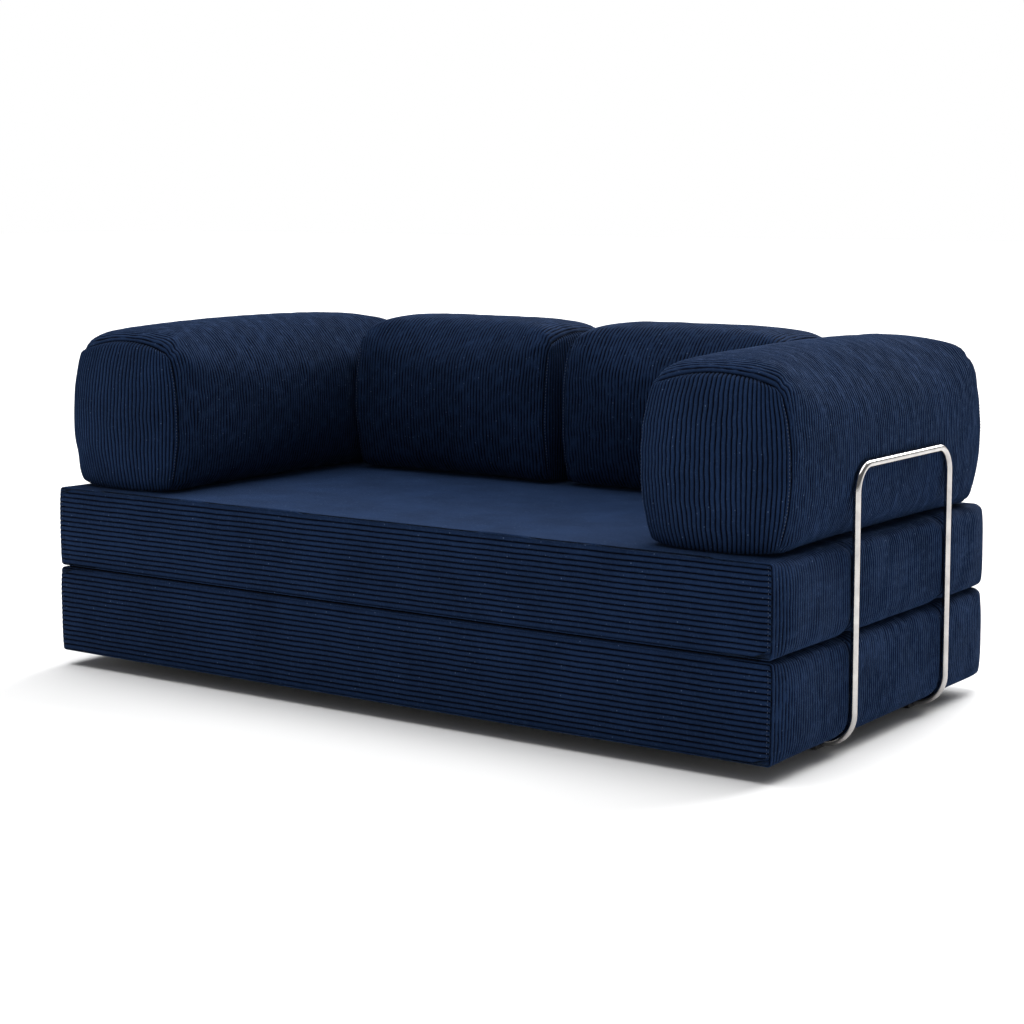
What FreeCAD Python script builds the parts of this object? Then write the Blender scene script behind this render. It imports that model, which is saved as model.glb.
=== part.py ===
"""Futon sofa bed: two stacked mattresses that fold open, four bolsters and four slide-in steel hoops.

Units are millimetres. +X runs along the sofa to its right end, as a sitter faces it from the front,
+Y from the front edge to the back, and +Z up. The origin is on the floor under the middle of the
mattresses, at the foot in the centre of the base.
"""
import FreeCAD, Part
import os
import math

V = FreeCAD.Vector

# Driving dimensions of the mattresses
LENGTH = 1900.0            # mattress length along X
DEPTH = 1000.0             # mattress depth along Y
LOWER_HEIGHT = 203.0
UPPER_HEIGHT = 188.0
END_RADIUS = 27.0          # rounded top and bottom edges at the two ends
REAR_RADIUS = 24.0         # rounded edges all round the rear face, clear of the hoops' bends
COVER = 2.0                # thickness of the corduroy with its lining
EASE = 0.5                 # room between a foam core and its cover

# Base
FOOT_HEIGHT = 25.0         # floor to the underside of the boards
BOARD = 9.0                # plywood thickness
PAD = 2.5                  # rubber pad under each foot
BATTEN = 12.0
BATTEN_HALF_WIDTH = 45.0
BOARD_INSET = 45.0         # from the mattress edge to the board edge
FRONT_FEET_Y = -300.0      # the front row of feet, set back under the board

# Steel hoops
TUBE_R = 8.0
TUBE_WALL = 1.5
HOOP_SPACING = 440.0       # between the two legs
HOOP_TOP = 580.0           # height of the top tube's centre line
HOOP_RUN_Z = 15.0          # height of the runs under the mattress
HOOP_RUN = 360.0           # from the legs to the inner ends of the runs
BOTTOM_BEND = 66.0
TOP_BEND = 54.0
LEG_GAP = 20.0             # from the mattress face to the leg's centre line
SIDE_HOOP_Y = 32.5
BACK_HOOP_X = 310.0

# Guide blocks, which are feet as well
GUIDE_WIDTH = 50.0
RUNNING_FIT = 0.05         # radial room round the tube
OUTER_GUIDE = (70.0, 120.0)     # start and end, measured inwards from the legs
INNER_GUIDE = (290.0, 330.0)
FOOT_R = 25.0
PAD_R = 16.0

# Screws
SCREW_R = 2.0
HEAD_R = 4.0
HEAD_HEIGHT = 3.0
SCREW_ROOM = 0.1
SCREW_TOP = FOOT_HEIGHT + 6.0
GUIDE_SCREW = 17.0         # from a guide's bore to each of its screws

# Fold
HINGE_Z = 238.0
HINGE_FRONT = 6.0          # the fold line stands this far in front of the mattress faces
HINGE_LEAF = 0.8
HINGE_TUCK = 46.0          # how far each leaf reaches in between the mattresses

# Bolsters
ARM_WIDTH = 333.0
ARM_LENGTH = 980.0
BACK_WIDTH = 328.0
BOLSTER_HEIGHT = 385.0
BOLSTER_TOP_RADIUS = 120.0
BOLSTER_BOTTOM_RADIUS = 75.0
BOLSTER_END_RADIUS = 45.0
BOLSTER_LIFT = 0.4         # above the seat
ARM_OUTER_X = 955.0
BOLSTER_GAP = 3.0

# Zips
TAPE = (26.0, 1.2)         # width and thickness of a zip's tape
BEAD = (5.0, 1.4)          # width and height of its closed coil
SLIDER = (16.0, 12.0, 1.2) # length, width and roof thickness of a slider
TAB = (9.0, 26.0, 1.6)     # width, length and thickness of its pull tab
ZIP_ROOM = 0.3

BOARD_TOP = FOOT_HEIGHT + BOARD
LOWER_Z = (BOARD_TOP, BOARD_TOP + LOWER_HEIGHT)
UPPER_Z = (HINGE_Z + 1.0, HINGE_Z + 1.0 + UPPER_HEIGHT)
BOLSTER_Z = UPPER_Z[1] + BOLSTER_LIFT
HALF_LENGTH = LENGTH / 2
HALF_DEPTH = DEPTH / 2


def export(name, shapes):
    """Write one node: a single solid, or several separate ones as a compound."""
    solids = shapes if isinstance(shapes, list) else [shapes]
    shape = solids[0] if len(solids) == 1 else Part.makeCompound(solids)
    shape.exportStep("parts/" + name + ".step")


def block(x, y, z):
    """A box from its three pairs of limits."""
    return Part.makeBox(x[1] - x[0], y[1] - y[0], z[1] - z[0], V(x[0], y[0], z[0]))


def rod(x, y, z, radius):
    """An upright cylinder between two heights."""
    return Part.makeCylinder(radius, z[1] - z[0], V(x, y, z[0]))


def cut_all(shape, tools):
    """Take every tool out of a shape."""
    return shape.cut(Part.makeCompound(tools)) if tools else shape


def turned(shape, degrees):
    """A copy of a shape turned about the Z axis."""
    copy = shape.copy()
    copy.rotate(V(0, 0, 0), V(0, 0, 1), degrees)
    return copy


def rounded_outline(half_width, low, high, top_radius, bottom_radius, y):
    """A closed X-Z outline at one Y: four straight sides joined by quarter circles."""
    corners = [
        (half_width, high, top_radius, 0),
        (-half_width, high, top_radius, 90),
        (-half_width, low, bottom_radius, 180),
        (half_width, low, bottom_radius, 270),
    ]
    points = []
    for x, z, radius, start in corners:
        centre_x = x - math.copysign(radius, x)
        centre_z = z - radius if z == high else z + radius
        arc = []
        for step in (0, 45, 90):
            angle = math.radians(start + step)
            arc.append(V(centre_x + radius * math.cos(angle), y, centre_z + radius * math.sin(angle)))
        points.append(arc)
    edges = []
    for index, arc in enumerate(points):
        edges.append(Part.Arc(*arc).toShape())
        edges.append(Part.LineSegment(arc[2], points[(index + 1) % 4][0]).toShape())
    return Part.Wire(edges)


def rounded_bar(half_width, low, high, top_radius, bottom_radius, start, end):
    """The outline carried along Y from start to end."""
    wire = rounded_outline(half_width, low, high, top_radius, bottom_radius, start)
    return Part.Face(wire).extrude(V(0, end - start, 0))


# ---------------------------------------------------------------- mattresses

def mattress_solid(height, inset):
    """A mattress-shaped bar inside the cover's outside by an inset, with its rear edges rounded over."""
    rear_y = HALF_DEPTH - inset
    bar = rounded_bar(HALF_LENGTH - inset, height[0] + inset, height[1] - inset,
                      END_RADIUS - inset, END_RADIUS - inset, inset - HALF_DEPTH, rear_y)
    rear = [edge for edge in bar.Edges if edge.BoundBox.YMin > rear_y - 0.01]
    return bar.makeFillet(REAR_RADIUS - inset, rear)


def mattress(name, height):
    """Foam core, wrap-round sheet, and the front and rear boxing panels of one mattress."""
    export(name + "_foam", mattress_solid(height, COVER + EASE))
    shell = mattress_solid(height, 0.0).cut(mattress_solid(height, COVER))
    wide = (-HALF_LENGTH, HALF_LENGTH)
    front = (-HALF_DEPTH, COVER - HALF_DEPTH)
    rear = (HALF_DEPTH - REAR_RADIUS, HALF_DEPTH)
    export(name + "_front_panel", shell.common(block(wide, front, height)))
    export(name + "_cover_sheet", shell.common(block(wide, (front[1], rear[0]), height)))
    export(name + "_rear_panel", shell.common(block(wide, rear, height)))


def hinge_strip():
    """The fabric strip along the fold, as the leaf sewn to each mattress."""
    length = (-HALF_LENGTH + END_RADIUS, HALF_LENGTH - END_RADIUS)
    tuck = (-HALF_DEPTH - HINGE_FRONT + ZIP_ROOM, HINGE_TUCK - HALF_DEPTH)
    export("hinge_strip_lower", block(length, tuck, (LOWER_Z[1], LOWER_Z[1] + HINGE_LEAF)))
    export("hinge_strip_upper", block(length, tuck, (UPPER_Z[0] - HINGE_LEAF, UPPER_Z[0])))


# ---------------------------------------------------------------- zips

def zip_tape(x, face_y, z):
    """Tape and closed coil on a rear face, between two X limits."""
    tape = block(x, (face_y, face_y + TAPE[1]), (z - TAPE[0] / 2, z + TAPE[0] / 2))
    bead = block(x, (face_y + TAPE[1], face_y + TAPE[1] + BEAD[1]), (z - BEAD[0] / 2, z + BEAD[0] / 2))
    return tape.fuse(bead).removeSplitter()


def zip_slider(x_end, face_y, z):
    """A slider that straddles the coil, ending at x_end, with its pull tab hanging over it."""
    length, width, roof = SLIDER
    back = face_y + TAPE[1] + ZIP_ROOM
    front = back + BEAD[1] + roof
    body = block((x_end - length, x_end), (back, front), (z - width / 2, z + width / 2))
    groove_half = BEAD[0] / 2 + ZIP_ROOM
    groove = block((x_end - length, x_end), (back, front - roof), (z - groove_half, z + groove_half))
    centre = x_end - length / 2
    tab = block((centre - TAB[0] / 2, centre + TAB[0] / 2), (front, front + TAB[2]),
                (z + width / 4 - TAB[1], z + width / 4))
    return [body.cut(groove), tab]


def zip_pair(name, x, face_y, z):
    """One zip and its slider, which rests at the zip's +X end."""
    export(name + "_zip", zip_tape(x, face_y, z))
    export(name + "_zip_slider", zip_slider(x[1] - ZIP_ROOM, face_y, z))


# ---------------------------------------------------------------- bolsters

def bolster_solid(width, length, inset):
    """A bolster along Y on the Z = 0 plane: rounded section, and ends rounded over all round."""
    bar = rounded_bar(width / 2 - inset, inset, BOLSTER_HEIGHT - inset,
                      BOLSTER_TOP_RADIUS - inset, BOLSTER_BOTTOM_RADIUS - inset,
                      inset - length / 2, length / 2 - inset)
    ends = [edge for edge in bar.Edges
            if abs(abs(edge.BoundBox.YMin) - length / 2 + inset) < 0.01
            and edge.BoundBox.YLength < 0.01]
    return bar.makeFillet(BOLSTER_END_RADIUS - inset, ends)


def bolster(name, width, length, degrees, place):
    """Foam core, wrap-round sheet and two end panels, turned about Z and moved to their place."""
    outer = bolster_solid(width, length, 0.0)
    shell = outer.cut(bolster_solid(width, length, COVER))
    core = bolster_solid(width, length, COVER + EASE)
    straight = length / 2 - BOLSTER_END_RADIUS
    tall = (-1.0, BOLSTER_HEIGHT + 1.0)
    middle = block((-width, width), (-straight, straight), tall)
    front = block((-width, width), (-length, -straight), tall)
    rear = block((-width, width), (straight, length), tall)
    nodes = {
        "_foam": [core],
        "_cover_sheet": [shell.common(middle)],
        "_end_panels": [shell.common(front), shell.common(rear)],
    }
    for suffix, solids in nodes.items():
        placed = [turned(solid, degrees) for solid in solids]
        for solid in placed:
            solid.translate(place)
        export(name + suffix, placed)


def bolsters():
    """Two arms from front to back, and two back bolsters that meet in the middle between them."""
    arm_x = ARM_OUTER_X - ARM_WIDTH / 2
    arm_y = HALF_DEPTH - ARM_LENGTH / 2
    back_length = ARM_OUTER_X - ARM_WIDTH - 1.5 * BOLSTER_GAP
    back_x = BOLSTER_GAP / 2 + back_length / 2
    back_y = HALF_DEPTH - BACK_WIDTH / 2
    arm_zip_half = 100.0
    back_zip_half = 230.0
    for side, sign in (("left", -1), ("right", 1)):
        bolster(side + "_arm", ARM_WIDTH, ARM_LENGTH, 0, V(sign * arm_x, arm_y, BOLSTER_Z))
        centre = sign * arm_x
        zip_pair(side + "_arm", (centre - arm_zip_half, centre + arm_zip_half), HALF_DEPTH,
                 BOLSTER_Z + 110.0)
        bolster("back_" + side, BACK_WIDTH, back_length, 90, V(sign * back_x, back_y, BOLSTER_Z))
        centre = sign * back_x
        zip_pair("back_" + side, (centre - back_zip_half, centre + back_zip_half), HALF_DEPTH,
                 BOLSTER_Z + 110.0)


# ---------------------------------------------------------------- hoops

def hoop_path():
    """Centre line of a hoop whose legs stand on the Y = +-spacing/2 lines, with its runs towards -X."""
    half = HOOP_SPACING / 2
    low = HOOP_RUN_Z
    top = HOOP_TOP
    diagonal = math.sqrt(0.5)
    edges = []
    for side in (-1, 1):
        y = side * half
        run_end = V(-HOOP_RUN, y, low)
        bend_start = V(-BOTTOM_BEND, y, low)
        bend_middle = V(BOTTOM_BEND * (diagonal - 1), y, low + BOTTOM_BEND * (1 - diagonal))
        bend_end = V(0, y, low + BOTTOM_BEND)
        leg_end = V(0, y, top - TOP_BEND)
        top_middle = V(0, side * (half - TOP_BEND * (1 - diagonal)), top - TOP_BEND * (1 - diagonal))
        top_end = V(0, side * (half - TOP_BEND), top)
        edges.append([
            Part.LineSegment(run_end, bend_start).toShape(),
            Part.Arc(bend_start, bend_middle, bend_end).toShape(),
            Part.LineSegment(bend_end, leg_end).toShape(),
            Part.Arc(leg_end, top_middle, top_end).toShape(),
        ])
    bridge = Part.LineSegment(V(0, TOP_BEND - half, top), V(0, half - TOP_BEND, top)).toShape()
    return Part.Wire(edges[0] + [bridge] + edges[1][::-1])


def swept(path, radius):
    """A round bar along the hoop's path."""
    circle = Part.Circle(V(-HOOP_RUN, -HOOP_SPACING / 2, HOOP_RUN_Z), V(1, 0, 0), radius)
    return path.makePipeShell([Part.Wire(circle.toShape())], True, False)


def hoop_plugs():
    """Plastic plugs in the open ends of the two runs."""
    plugs = []
    for y in (-HOOP_SPACING / 2, HOOP_SPACING / 2):
        flange = Part.makeCylinder(TUBE_R, 2.0, V(-HOOP_RUN - 2.0, y, HOOP_RUN_Z), V(1, 0, 0))
        stem = Part.makeCylinder(TUBE_R - TUBE_WALL - SCREW_ROOM, 14.0,
                                 V(-HOOP_RUN, y, HOOP_RUN_Z), V(1, 0, 0))
        plugs.append(flange.fuse(stem).removeSplitter())
    return plugs


def guide_blocks(span):
    """The two bored blocks, one under each run, between two distances in from the legs."""
    blocks = []
    for y in (-HOOP_SPACING / 2, HOOP_SPACING / 2):
        body = block((-span[1], -span[0]), (y - GUIDE_WIDTH / 2, y + GUIDE_WIDTH / 2), (PAD, FOOT_HEIGHT))
        bore = Part.makeCylinder(TUBE_R + RUNNING_FIT, span[1] - span[0],
                                 V(-span[1], y, HOOP_RUN_Z), V(1, 0, 0))
        blocks.append(body.cut(bore))
    return blocks


def guide_screw_points(span):
    """Two screw positions in each block, one on each side of the run."""
    x = -(span[0] + span[1]) / 2
    points = []
    for y in (-HOOP_SPACING / 2, HOOP_SPACING / 2):
        points.append(V(x, y - GUIDE_SCREW, 0))
        points.append(V(x, y + GUIDE_SCREW, 0))
    return points


def guide_pad_points(span):
    """One pad under each block."""
    x = -(span[0] + span[1]) / 2
    return [V(x, -HOOP_SPACING / 2, 0), V(x, HOOP_SPACING / 2, 0)]


def placement(degrees, x, y):
    """A turn about Z and then a move."""
    return FreeCAD.Placement(V(x, y, 0), FreeCAD.Rotation(V(0, 0, 1), degrees))


HOOPS = {
    "left": placement(180, -HALF_LENGTH - LEG_GAP, SIDE_HOOP_Y),
    "right": placement(0, HALF_LENGTH + LEG_GAP, SIDE_HOOP_Y),
    "back_left": placement(90, -BACK_HOOP_X, HALF_DEPTH + LEG_GAP),
    "back_right": placement(90, BACK_HOOP_X, HALF_DEPTH + LEG_GAP),
}


def placed_copy(shape, place):
    """A copy of a shape carried by a placement."""
    return shape.transformed(place.toMatrix(), True)


# ---------------------------------------------------------------- base

def screw(x, y, low, high, room=0.0):
    """A countersunk-style wood screw, or with room the hole that holds it."""
    head = rod(x, y, (low, low + HEAD_HEIGHT + room), HEAD_R + room)
    return head.fuse(rod(x, y, (low, high + room), SCREW_R + room)).removeSplitter()


def foot_places():
    """Plain feet under the boards: a row set well back from the front edge, the rear corners and the middle."""
    return [V(sign * x, y, 0) for sign in (-1, 1)
            for x, y in ((800, FRONT_FEET_Y), (450, FRONT_FEET_Y), (860, 410), (450, 30))]


def middle_foot_places():
    """Lower feet under the batten that joins the boards."""
    return [V(0, y, 0) for y in (FRONT_FEET_Y, 0, 400)]


def batten_screw_places():
    """Screws through the batten into both boards."""
    return [V(x, y, 0) for x in (-30, 30) for y in (-250, -100, 100, 300)]


def base():
    """Boards, batten, feet, guide blocks, pads and screws."""
    hoop_screws = []
    pads = []
    for name, place in HOOPS.items():
        for kind, span in (("outer", OUTER_GUIDE), ("inner", INNER_GUIDE)):
            points = [place.multVec(point) for point in guide_screw_points(span)]
            holes = [screw(p.x, p.y, PAD, SCREW_TOP, SCREW_ROOM) for p in points]
            blocks = [placed_copy(body, place) for body in guide_blocks(span)]
            export(name + "_hoop_" + kind + "_guides", [cut_all(body, holes) for body in blocks])
            hoop_screws += points
            pads += [place.multVec(point) for point in guide_pad_points(span)]

    feet = foot_places()
    middle = middle_foot_places()
    joints = batten_screw_places()
    under_board = hoop_screws + feet
    board_holes = [screw(p.x, p.y, PAD, SCREW_TOP, SCREW_ROOM) for p in under_board]
    batten_low = FOOT_HEIGHT - BATTEN
    batten_holes = [screw(p.x, p.y, batten_low, SCREW_TOP, SCREW_ROOM) for p in joints]
    foot_top_screw = batten_low + BATTEN - 3.0
    middle_holes = [screw(p.x, p.y, PAD, foot_top_screw, SCREW_ROOM) for p in middle]

    board_x = HALF_LENGTH - BOARD_INSET
    board_y = HALF_DEPTH - BOARD_INSET
    thickness = (FOOT_HEIGHT, BOARD_TOP)
    for side, span in (("left", (-board_x, -0.25)), ("right", (0.25, board_x))):
        board = block(span, (-board_y, board_y), thickness)
        export("base_board_" + side, cut_all(board, board_holes + batten_holes))
    batten = block((-BATTEN_HALF_WIDTH, BATTEN_HALF_WIDTH), (FRONT_FEET_Y - 30.0, board_y - 20.0),
                   (batten_low, FOOT_HEIGHT))
    export("joining_batten", cut_all(batten, batten_holes + middle_holes))

    tall_feet = [cut_all(rod(p.x, p.y, (PAD, FOOT_HEIGHT), FOOT_R), board_holes) for p in feet]
    export("board_feet", tall_feet)
    low_feet = [cut_all(rod(p.x, p.y, (PAD, batten_low), FOOT_R), middle_holes) for p in middle]
    export("batten_feet", low_feet)
    export("foot_pads", [rod(p.x, p.y, (0.0, PAD), PAD_R) for p in pads + feet + middle])
    export("guide_screws", [screw(p.x, p.y, PAD, SCREW_TOP) for p in hoop_screws])
    foot_screws = [screw(p.x, p.y, PAD, SCREW_TOP) for p in feet]
    foot_screws += [screw(p.x, p.y, PAD, foot_top_screw) for p in middle]
    export("foot_screws", foot_screws)
    export("batten_screws", [screw(p.x, p.y, batten_low, SCREW_TOP) for p in joints])


def hoops():
    """Four equal steel hoops with plugged runs."""
    path = hoop_path()
    tube = swept(path, TUBE_R).cut(swept(path, TUBE_R - TUBE_WALL))
    for name, place in HOOPS.items():
        export(name + "_hoop", placed_copy(tube, place))
        export(name + "_hoop_plugs", [placed_copy(plug, place) for plug in hoop_plugs()])


def main():
    os.makedirs("parts", exist_ok=True)
    zip_half = 760.0
    mattress("lower", LOWER_Z)
    mattress("upper", UPPER_Z)
    zip_pair("lower", (-zip_half, zip_half), HALF_DEPTH, sum(LOWER_Z) / 2)
    zip_pair("upper", (-zip_half, zip_half), HALF_DEPTH, sum(UPPER_Z) / 2)
    hinge_strip()
    bolsters()
    hoops()
    base()


main()
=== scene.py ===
"""The looks of the futon sofa bed: corduroy mattresses and bolsters, stitching, zips and steel hoops.

Lengths are metres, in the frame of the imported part: +X runs along the sofa to its right end, +Y
from the front edge to the back and +Z up, with the floor at Z = 0.

Every soft piece is a closed skin of grids. A smooth form comes first, as a function of two
parameters. The wales of the corduroy are then laid over it as ridges along its normals, and the
grids are sewn together where their edges meet.
"""
import bpy
import math
import numpy as np
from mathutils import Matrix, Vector


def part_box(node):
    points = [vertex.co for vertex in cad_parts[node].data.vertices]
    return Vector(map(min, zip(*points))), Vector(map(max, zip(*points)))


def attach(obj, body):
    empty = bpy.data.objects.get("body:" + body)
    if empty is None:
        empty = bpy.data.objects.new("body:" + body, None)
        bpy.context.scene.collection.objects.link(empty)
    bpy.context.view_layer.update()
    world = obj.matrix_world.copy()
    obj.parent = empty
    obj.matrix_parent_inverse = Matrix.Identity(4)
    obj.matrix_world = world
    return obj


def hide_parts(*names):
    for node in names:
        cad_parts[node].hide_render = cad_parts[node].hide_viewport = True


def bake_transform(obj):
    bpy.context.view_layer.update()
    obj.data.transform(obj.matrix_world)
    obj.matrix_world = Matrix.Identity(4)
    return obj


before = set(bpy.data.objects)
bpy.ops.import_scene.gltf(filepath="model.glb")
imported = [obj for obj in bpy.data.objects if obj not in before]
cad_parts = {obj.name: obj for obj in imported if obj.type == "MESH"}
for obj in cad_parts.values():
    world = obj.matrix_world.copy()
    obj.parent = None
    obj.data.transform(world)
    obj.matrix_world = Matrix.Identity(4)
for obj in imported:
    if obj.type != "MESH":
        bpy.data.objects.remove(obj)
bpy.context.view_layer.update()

WALE = 0.0095              # width of one wale where the cloth wraps a mattress or a bolster
CAP_WALE = 0.0101          # on the bolsters' end panels
PANEL_WALE = 0.0114        # on the mattresses' boxing panels, cut from a wider cord
SAMPLES = 6                # grid lines across one wale
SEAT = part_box("upper_cover_sheet")[1][2]
BOLSTERS = ("left_arm", "right_arm", "back_left", "back_right")
HOOPS = ("left", "right", "back_left", "back_right")
TUBE_RADIUS = 0.008


# ---------------------------------------------------------------- arrays into pieces

def mesh_from(name, points, quads, triangles=None):
    """A smooth-shaded mesh from arrays of points, of quads and of triangles."""
    triangles = np.zeros((0, 3), int) if triangles is None else triangles
    corners = np.concatenate([quads.ravel(), triangles.ravel()])
    starts = np.concatenate([np.arange(len(quads)) * 4, len(quads) * 4 + np.arange(len(triangles)) * 3])
    mesh = bpy.data.meshes.new(name)
    mesh.vertices.add(len(points))
    mesh.vertices.foreach_set("co", np.ascontiguousarray(points, np.float32).ravel())
    mesh.loops.add(len(corners))
    mesh.loops.foreach_set("vertex_index", corners.astype(np.int32))
    mesh.polygons.add(len(starts))
    mesh.polygons.foreach_set("loop_start", starts.astype(np.int32))
    mesh.polygons.foreach_set("use_smooth", np.ones(len(starts), bool))
    mesh.update(calc_edges=True)
    mesh.validate()
    return mesh


def new_piece(name, mesh, material, body):
    """The mesh as a piece of the object, with its finish, riding on a body if one is given."""
    piece = bpy.data.objects.new(name, mesh)
    bpy.context.collection.objects.link(piece)
    mesh.materials.append(material)
    if body:
        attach(piece, body)
    return piece


def paint(mesh, name, values):
    """One number per point, as an attribute that materials read."""
    layer = mesh.attributes.new(name, "FLOAT", "POINT")
    layer.data.foreach_set("value", np.ascontiguousarray(values, np.float32).ravel())


def grid_quads(rows, columns, wrap=False, first=0):
    """Quads of a grid whose point (i, j) is number first + i * columns + j; with wrap, its sides meet."""
    i = np.arange(rows - 1)[:, None]
    j = np.arange(columns if wrap else columns - 1)[None, :]
    after = (j + 1) % columns
    here, below = i * columns, (i + 1) * columns
    quads = np.stack([here + j, below + j, below + after, here + after], -1)
    return quads.reshape(-1, 4) + first


def facing_out(points, faces, centre):
    """The faces, all turned over if on the whole they look towards the centre."""
    a, b, c = (points[faces[:, k]] for k in range(3))
    looks = ((a - centre) * np.cross(b - a, c - a)).sum()
    return faces if looks > 0 else faces[:, ::-1]


def sew(first, first_turn, second, second_turn):
    """Triangles between two closed loops of point numbers whose turns rise from 0 towards 1.

    Each edge of one loop takes the point of the other that was passed last, as a zip closes."""
    a_turn = np.append(first_turn, 1.0)
    b_turn = np.append(second_turn, 1.0)
    i = np.arange(len(first))
    j = np.arange(len(second))
    b_at = np.clip(np.searchsorted(b_turn, a_turn[i + 1] + 1e-9, side="right") - 1, 0, len(second))
    a_at = np.clip(np.searchsorted(a_turn, b_turn[j + 1] - 1e-9, side="left") - 1, 0, len(first))
    along_a = np.stack([first[i], first[(i + 1) % len(first)], second[b_at % len(second)]], 1)
    along_b = np.stack([second[(j + 1) % len(second)], second[j], first[a_at % len(first)]], 1)
    faces = np.concatenate([along_a, along_b])
    distinct = (faces[:, 0] != faces[:, 1]) & (faces[:, 1] != faces[:, 2]) & (faces[:, 0] != faces[:, 2])
    return faces[distinct]


def turns(loop_points):
    """How far round a closed loop each of its points lies, from 0 towards 1, by length."""
    steps = np.linalg.norm(np.roll(loop_points, -1, 0) - loop_points, axis=1)
    return np.concatenate([[0.0], np.cumsum(steps)[:-1]]) / steps.sum()


def outwards(points, quads, triangles):
    """The faces of a closed shape, all turned over if the volume they enclose comes out below 0."""
    corners = np.concatenate([quads[:, :3], quads[:, [0, 2, 3]], triangles])
    a, b, c = (points[corners[:, k]] for k in range(3))
    if (a * np.cross(b, c)).sum() < 0:
        return quads[:, ::-1], triangles[:, ::-1]
    return quads, triangles


def closed_tube(name, ring):
    """A mesh from rows of rings, with a fan of triangles over each open end."""
    rows, sides = ring.shape[:2]
    points = np.concatenate([ring.reshape(-1, 3), ring[0].mean(0)[None], ring[-1].mean(0)[None]])
    number = np.arange(sides)
    after = (number + 1) % sides
    last_row = (rows - 1) * sides
    fans = np.concatenate([
        np.stack([after, number, np.full(sides, rows * sides)], 1),
        np.stack([last_row + number, last_row + after, np.full(sides, rows * sides + 1)], 1),
    ])
    return mesh_from(name, points, *outwards(points, grid_quads(rows, sides, wrap=True), fans))


# ---------------------------------------------------------------- smooth forms

def unevenness(points, scale, seed, waves=7):
    """A smooth wander about 0, mostly within 1: added sine waves of about one length, in all directions."""
    rng = np.random.default_rng(seed)
    total = np.zeros(points.shape[:-1])
    for direction, phase in zip(rng.normal(size=(waves, 3)), rng.uniform(0, 2 * math.pi, waves)):
        wave = direction / np.linalg.norm(direction) * 2 * math.pi / (scale * rng.uniform(0.7, 1.5))
        total += np.sin(points @ wave + phase)
    return total / math.sqrt(waves)


def smooth_at(grid, places, axis, wrap=False):
    """A grid sampled at fractional places along one axis, on Catmull-Rom curves through its points."""
    grid = np.moveaxis(grid, axis, 0)
    count = len(grid)
    base = np.floor(places).astype(int)
    if wrap:
        p0, p1, p2, p3 = (grid[(base + k) % count] for k in (-1, 0, 1, 2))
    else:
        base = np.clip(base, 0, count - 2)
        longer = np.concatenate([2 * grid[:1] - grid[1:2], grid, 2 * grid[-1:] - grid[-2:-1]])
        p0, p1, p2, p3 = (longer[base + k] for k in (0, 1, 2, 3))
    t = (places - base).reshape((-1,) + (1,) * (grid.ndim - 1))
    curve = (2 * p1 + (p2 - p0) * t + (2 * p0 - 5 * p1 + 4 * p2 - p3) * t ** 2
             + (3 * p1 - p0 - 3 * p2 + p3) * t ** 3) / 2
    return np.moveaxis(curve, 0, axis)


def slopes(grid, wrap=False):
    """How a grid of points changes from row to row and from column to column."""
    down = np.gradient(grid, axis=0)
    if wrap:
        across = (np.roll(grid, -1, 1) - np.roll(grid, 1, 1)) / 2
    else:
        across = np.gradient(grid, axis=1)
    return down, across


def normals_of(grid, centre, wrap=False):
    """Unit normals of a grid of points, looking away from the centre."""
    down, across = slopes(grid, wrap)
    normals = np.cross(down, across)
    normals /= np.linalg.norm(normals, axis=-1, keepdims=True) + 1e-12
    return normals if (normals * (grid - centre)).sum() > 0 else -normals


def wale_height(phase):
    """Height across corduroy, from 0 in a groove to 1 on a crest: rounded wales and narrow grooves."""
    return np.abs(np.sin(math.pi * phase)) ** 0.62


def rise(value, start, end):
    """0 before start, 1 after end, and a smooth step between them."""
    t = np.clip((value - start) / (end - start), 0, 1)
    return t * t * (3 - 2 * t)


def soft_floor(height, level, softness):
    """Heights kept above a level, with a rounded transition of about the softness."""
    return level + softness * np.logaddexp(0, (height - level) / softness)


def side_of_square(fraction, length, start_radius, end_radius):
    """A rounded square's side, from the middle of one corner's arc to the middle of the next, by length.

    Returns how far along the side, and how far inside it, each point lies."""
    eighth = math.pi / 4
    flat = length - start_radius - end_radius
    run = fraction * (start_radius * eighth + flat + end_radius * eighth)
    a = np.clip(1 - run / (start_radius * eighth), 0, 1) * eighth
    b = np.clip((run - start_radius * eighth - flat) / (end_radius * eighth), 0, 1) * eighth
    middle = np.clip(run - start_radius * eighth, 0, flat)
    along = start_radius * (1 - np.sin(a)) + middle + end_radius * np.sin(b)
    inside = start_radius * (1 - np.cos(a)) + end_radius * (1 - np.cos(b))
    return along, inside


def square_loop(places, width, height, low_radius, high_radius):
    """Points (across, up) on a rounded square that stands on 0, anticlockwise.

    Place 0 is its lower left corner, places 1, 2 and 3 are the next ones, and place 4 is 0 again."""
    side = np.floor(places).astype(int) % 4
    fraction = places - np.floor(places)
    bottom = side_of_square(fraction, width, low_radius, low_radius)
    right = side_of_square(fraction, height, low_radius, high_radius)
    top = side_of_square(fraction, width, high_radius, high_radius)
    left = side_of_square(fraction, height, high_radius, low_radius)
    across = np.choose(side, [bottom[0] - width / 2, width / 2 - right[1],
                              width / 2 - top[0], left[1] - width / 2])
    up = np.choose(side, [bottom[1], right[0], height - top[1], height - left[0]])
    return across, up


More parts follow.
